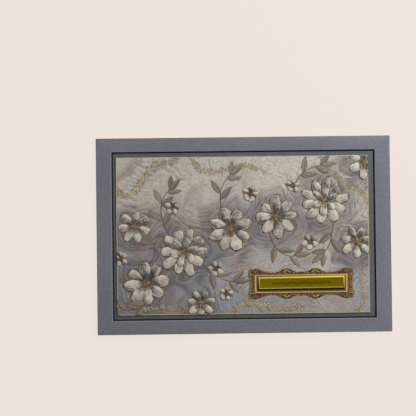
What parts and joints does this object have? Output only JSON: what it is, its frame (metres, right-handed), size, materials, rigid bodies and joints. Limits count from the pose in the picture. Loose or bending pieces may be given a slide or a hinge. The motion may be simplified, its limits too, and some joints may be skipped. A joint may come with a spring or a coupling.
{
  "type": "wedding invitation card",
  "caption": "Rigid framed invitation card with a recessed relief print of blossoms and a scrolled surround that holds a gilt name plate.",
  "frame": {"origin": "middle of the underside of the back board", "axes": "+X to the reader's right, +Y to the top of the card, +Z out of its face"},
  "size_m": [0.2286, 0.1524, 0.0058],
  "materials": {
    "slate_wrap": "fine matte slate-grey paper wrapped over board",
    "charcoal_mat": "matte charcoal board",
    "marbled_print": "satin printed card, marbled in grey, mauve and cream",
    "gilt_ink": "raised satin gilt ink",
    "leaf_ink": "raised satin ink, grey-brown",
    "petal_ink": "raised satin ink, cream",
    "centre_ink": "raised satin ink, bronze",
    "antique_gilt": "moulded relief in worn antique gilt",
    "gilt_plate": "satin gilt with a bright bevelled rim"
  },
  "bodies": {
    "root": {"back_board": "slate_wrap", "window_frame": "slate_wrap", "mat_panel": "charcoal_mat", "print_panel": "marbled_print", "gilt_veins": "gilt_ink", "leaf_sprays": "leaf_ink", "blossom_petals": "petal_ink", "blossom_centres": "centre_ink", "scroll_surround": "antique_gilt", "name_plate": "gilt_plate"}
  },
  "joints": []
}
